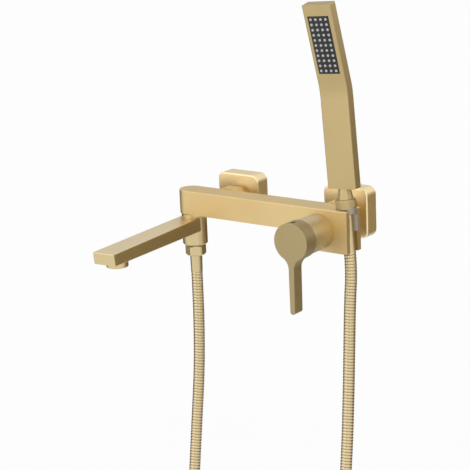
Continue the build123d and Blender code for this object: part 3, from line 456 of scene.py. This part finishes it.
def lathe(mesh, profile, sides, place):
    """Add a turned surface about the place's Z axis from (radius, height) points to a bmesh."""
    rings = []
    for radius, height in profile:
        if radius == 0:
            rings.append([mesh.verts.new(place @ Vector((0, 0, height)))])
            continue
        ring = []
        for step in range(sides):
            turn = 2 * math.pi * step / sides
            point = Vector((radius * math.cos(turn), radius * math.sin(turn), height))
            ring.append(mesh.verts.new(place @ point))
        rings.append(ring)
    for low, high in zip(rings, rings[1:]):
        for step in range(sides):
            after = (step + 1) % sides
            if len(high) == 1:
                mesh.faces.new((low[step], low[after], high[0]))
            elif len(low) == 1:
                mesh.faces.new((low[0], high[after], high[step]))
            else:
                mesh.faces.new((low[step], low[after], high[after], high[step]))


def edge_direction(edge):
    return (edge.verts[0].co - edge.verts[1].co).normalized()


def make_plate(material):
    """Black nozzle plate with softened edges."""
    shape = bmesh.new()
    bmesh.ops.create_cube(shape, size=1.0)
    size = Matrix.Diagonal((PLATE_WIDTH, PLATE_THICKNESS, PLATE_HEIGHT, 1))
    centre = Matrix.Translation((0, PLATE_THICKNESS / 2 - PLATE_PROUD, 0))
    bmesh.ops.transform(shape, matrix=centre @ size, verts=shape.verts)
    upright = [edge for edge in shape.edges if edge_direction(edge).y ** 2 > 0.81]
    bmesh.ops.bevel(shape, geom=upright, offset=PLATE_CORNER, segments=4, affect="EDGES", profile=0.5)
    front = [edge for edge in shape.edges if all(vertex.co.y < 0 for vertex in edge.verts)]
    bmesh.ops.bevel(shape, geom=front, offset=PLATE_PROUD * 0.8, segments=2, affect="EDGES", profile=0.5)
    bmesh.ops.transform(shape, matrix=head_matrix(), verts=shape.verts)
    mesh = bpy.data.meshes.new("nozzle_face")
    shape.to_mesh(mesh)
    shape.free()
    smooth(mesh, 40)
    piece = new_piece("nozzle_face", mesh, material)
    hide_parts("nozzle_plate")
    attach(piece, "handset")


def make_nozzles(material):
    """Soft nozzles that stand through the plate, each with its small outlet."""
    shape = bmesh.new()
    outlet = NOZZLE_OUTLET_SHARE * NOZZLE_RADIUS
    tip = NOZZLE_TIP_SHARE * NOZZLE_RADIUS
    profile = [
        (1.12 * NOZZLE_RADIUS, -0.3 * NOZZLE_HEIGHT),
        (1.05 * NOZZLE_RADIUS, 0.12 * NOZZLE_HEIGHT),
        (tip, 0.85 * NOZZLE_HEIGHT),
        (0.9 * tip, NOZZLE_HEIGHT),
        (outlet, NOZZLE_HEIGHT),
        (0.9 * outlet, 0.4 * NOZZLE_HEIGHT),
        (0, 0.4 * NOZZLE_HEIGHT),
    ]
    for column in range(NOZZLE_COLUMNS):
        for row in range(NOZZLE_ROWS):
            x = (column - (NOZZLE_COLUMNS - 1) / 2) * NOZZLE_PITCH_X
            z = (row - (NOZZLE_ROWS - 1) / 2) * NOZZLE_PITCH_Z
            place = Matrix.Translation((x, -PLATE_PROUD, z)) @ Matrix.Rotation(math.pi / 2, 4, "X")
            lathe(shape, profile, NOZZLE_SIDES, head_matrix() @ place)
    mesh = bpy.data.meshes.new("nozzles")
    shape.to_mesh(mesh)
    shape.free()
    smooth(mesh, 50)
    piece = new_piece("nozzles", mesh, material)
    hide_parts("nozzle_membrane")
    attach(piece, "handset")


def make_collar(material):
    """Finely knurled band round the cone nut's collar."""
    shape = bmesh.new()
    low, high = COLLAR_LOW + KNURL_MARGIN, COLLAR_LOW + COLLAR_HEIGHT - KNURL_MARGIN
    heights = [
        (low, 0.0), (low + KNURL_LEAD, 1.0), ((low + high) / 2, 1.0), (high - KNURL_LEAD, 1.0), (high, 0.0),
    ]
    rings = []
    for height, share in heights:
        ring = []
        for step in range(2 * KNURL_COUNT):
            turn = math.pi * step / KNURL_COUNT
            radius = COLLAR_RADIUS + share * (KNURL_DEPTH if step % 2 else KNURL_ROOT_HEIGHT)
            ring.append(shape.verts.new((radius * math.cos(turn), radius * math.sin(turn), height)))
        rings.append(ring)
    for under, over in zip(rings, rings[1:]):
        for step in range(2 * KNURL_COUNT):
            after = (step + 1) % (2 * KNURL_COUNT)
            shape.faces.new((under[step], under[after], over[after], over[step]))
    bmesh.ops.transform(shape, matrix=hand_shower_matrix(), verts=shape.verts)
    mesh = bpy.data.meshes.new("collar_knurl")
    shape.to_mesh(mesh)
    shape.free()
    piece = new_piece("collar_knurl", mesh, material)
    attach(piece, "handset")


def make_leg_ends(material):
    """Lower ends of the holder insert's legs: a U in plan, open to the right."""
    shape = bmesh.new()
    outlines = []
    for radius in (LEG_HALF, LEG_HALF - LEG_WALL):
        outline = [(LEG_REACH, radius)]
        for step in range(LEG_ARC_STEPS + 1):
            turn = math.pi / 2 + math.pi * step / LEG_ARC_STEPS
            outline.append((radius * math.cos(turn), radius * math.sin(turn)))
        outline.append((LEG_REACH, -radius))
        outlines.append(outline)
    sections = []
    for outer, inner in zip(*outlines):
        corners = [(*outer, LEG_LOW), (*outer, LEG_HIGH), (*inner, LEG_HIGH), (*inner, LEG_LOW)]
        sections.append([shape.verts.new(corner) for corner in corners])
    for before, after in zip(sections, sections[1:]):
        for corner in range(4):
            following = (corner + 1) % 4
            shape.faces.new((before[corner], before[following], after[following], after[corner]))
    shape.faces.new(sections[0])
    shape.faces.new(sections[-1])
    bmesh.ops.recalc_face_normals(shape, faces=shape.faces)
    bmesh.ops.transform(shape, matrix=Matrix.Translation(HOLDER_PLACE), verts=shape.verts)
    mesh = bpy.data.meshes.new("insert_leg_ends")
    shape.to_mesh(mesh)
    shape.free()
    smooth(mesh, 40)
    piece = new_piece("insert_leg_ends", mesh, material)
    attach(piece, "mixer")


# Studio


def make_camera():
    """Camera at the photograph's place, turned as its picture is."""
    a, e, r = CAMERA_AZIMUTH, CAMERA_ELEVATION, CAMERA_ROLL
    back = Vector((math.sin(a) * math.cos(e), -math.cos(a) * math.cos(e), math.sin(e)))
    level = Vector((math.cos(a), math.sin(a), 0))
    upright = back.cross(level)
    right = level * math.cos(r) + upright * math.sin(r)
    up = upright * math.cos(r) - level * math.sin(r)
    data = bpy.data.cameras.new("camera")
    data.sensor_width = SENSOR_WIDTH_MM
    data.lens = SENSOR_WIDTH_MM * FOCAL_PX / PICTURE_WIDTH_PX
    data.clip_end = 100
    camera = bpy.data.objects.new("camera", data)
    turn = Matrix((right, up, back)).transposed().to_4x4()
    camera.matrix_world = Matrix.Translation(CAMERA_PLACE) @ turn
    bpy.context.scene.collection.objects.link(camera)
    bpy.context.scene.camera = camera


def seen_rays(tree):
    """1 for rays that show a background: camera, glossy and transmission rays."""
    path = tree.nodes.new("ShaderNodeLightPath")
    total = path.outputs["Is Camera Ray"]
    for name in ("Is Glossy Ray", "Is Transmission Ray"):
        largest = tree.nodes.new("ShaderNodeMath")
        largest.operation = "MAXIMUM"
        tree.links.new(total, largest.inputs[0])
        tree.links.new(path.outputs[name], largest.inputs[1])
        total = largest.outputs[0]
    return total


def make_floor():
    """Plain white floor that keeps a soft shadow."""
    mesh = bpy.data.meshes.new("floor")
    half = FLOOR_SIZE / 2
    corners = [(-half, -half, FLOOR_Z), (half, -half, FLOOR_Z), (half, half, FLOOR_Z), (-half, half, FLOOR_Z)]
    mesh.from_pydata(corners, [], [(0, 1, 2, 3)])
    floor = bpy.data.objects.new("floor", mesh)
    bpy.context.scene.collection.objects.link(floor)
    material = bpy.data.materials.new("floor_white")
    material.use_nodes = True
    tree = material.node_tree
    diffuse = tree.nodes["Principled BSDF"]
    diffuse.inputs["Base Color"].default_value = (0.9, 0.9, 0.9, 1)
    diffuse.inputs["Roughness"].default_value = 0.9
    diffuse.inputs["Specular IOR Level"].default_value = 0.0
    glow = tree.nodes.new("ShaderNodeEmission")
    glow.inputs["Color"].default_value = (1, 1, 1, 1)
    share = tree.nodes.new("ShaderNodeMath")
    share.operation = "MULTIPLY"
    share.inputs[1].default_value = FLOOR_WHITE_SHARE
    tree.links.new(seen_rays(tree), share.inputs[0])
    mix = tree.nodes.new("ShaderNodeMixShader")
    tree.links.new(share.outputs[0], mix.inputs[0])
    tree.links.new(diffuse.outputs[0], mix.inputs[1])
    tree.links.new(glow.outputs[0], mix.inputs[2])
    tree.links.new(mix.outputs[0], tree.nodes["Material Output"].inputs["Surface"])
    mesh.materials.append(material)


def make_world():
    """White where it is seen, and a soft even light elsewhere."""
    world = bpy.data.worlds.new("studio")
    bpy.context.scene.world = world
    world.use_nodes = True
    tree = world.node_tree
    light = tree.nodes["Background"]
    light.inputs["Color"].default_value = (1, 1, 1, 1)
    light.inputs["Strength"].default_value = WORLD_STRENGTH
    white = tree.nodes.new("ShaderNodeBackground")
    white.inputs["Color"].default_value = (1, 1, 1, 1)
    white.inputs["Strength"].default_value = 1.0
    mix = tree.nodes.new("ShaderNodeMixShader")
    tree.links.new(seen_rays(tree), mix.inputs[0])
    tree.links.new(light.outputs[0], mix.inputs[1])
    tree.links.new(white.outputs[0], mix.inputs[2])
    tree.links.new(mix.outputs[0], tree.nodes["World Output"].inputs["Surface"])


def make_card(place, width, height, color):
    """Studio card, out of the picture, that the faces turned to it mirror."""
    mesh = bpy.data.meshes.new("card")
    half = width / 2
    mesh.from_pydata([(-half, 0, 0), (half, 0, 0), (half, 0, height), (-half, 0, height)], [], [(0, 1, 2, 3)])
    material = bpy.data.materials.new("card_matt")
    material.use_nodes = True
    shader = material.node_tree.nodes["Principled BSDF"]
    shader.inputs["Base Color"].default_value = (*color, 1)
    shader.inputs["Roughness"].default_value = 1.0
    shader.inputs["Specular IOR Level"].default_value = 0.0
    mesh.materials.append(material)
    card = bpy.data.objects.new("card", mesh)
    card.location = place
    card.rotation_euler = (0, 0, -math.atan2(place[0], place[1]))
    card.visible_camera = False
    card.visible_shadow = False
    bpy.context.scene.collection.objects.link(card)


def make_light(name, place, size, power):
    """Soft area light that looks at the object."""
    data = bpy.data.lights.new(name, "AREA")
    data.shape = "RECTANGLE"
    data.size, data.size_y = size
    data.energy = power
    light = bpy.data.objects.new(name, data)
    light.location = place
    light.rotation_euler = (Vector(LAMP_AIM) - Vector(place)).to_track_quat("-Z", "Y").to_euler()
    bpy.context.scene.collection.objects.link(light)


def main():
    bpy.context.scene.view_settings.view_transform = "Standard"
    make_camera()
    materials = make_materials()
    dress_nodes(materials)
    make_hose(materials["hose"])
    make_plate(materials["black"])
    make_nozzles(materials["white"])
    # The knurl uses the stick's darker gold, painted shade.
    make_collar(materials["gold_knurl_painted_shade"])
    make_leg_ends(materials["insert"])
    make_floor()
    make_world()
    for card in CARDS:
        make_card(*card)
    for lamp in LAMPS:
        make_light(*lamp)


main()
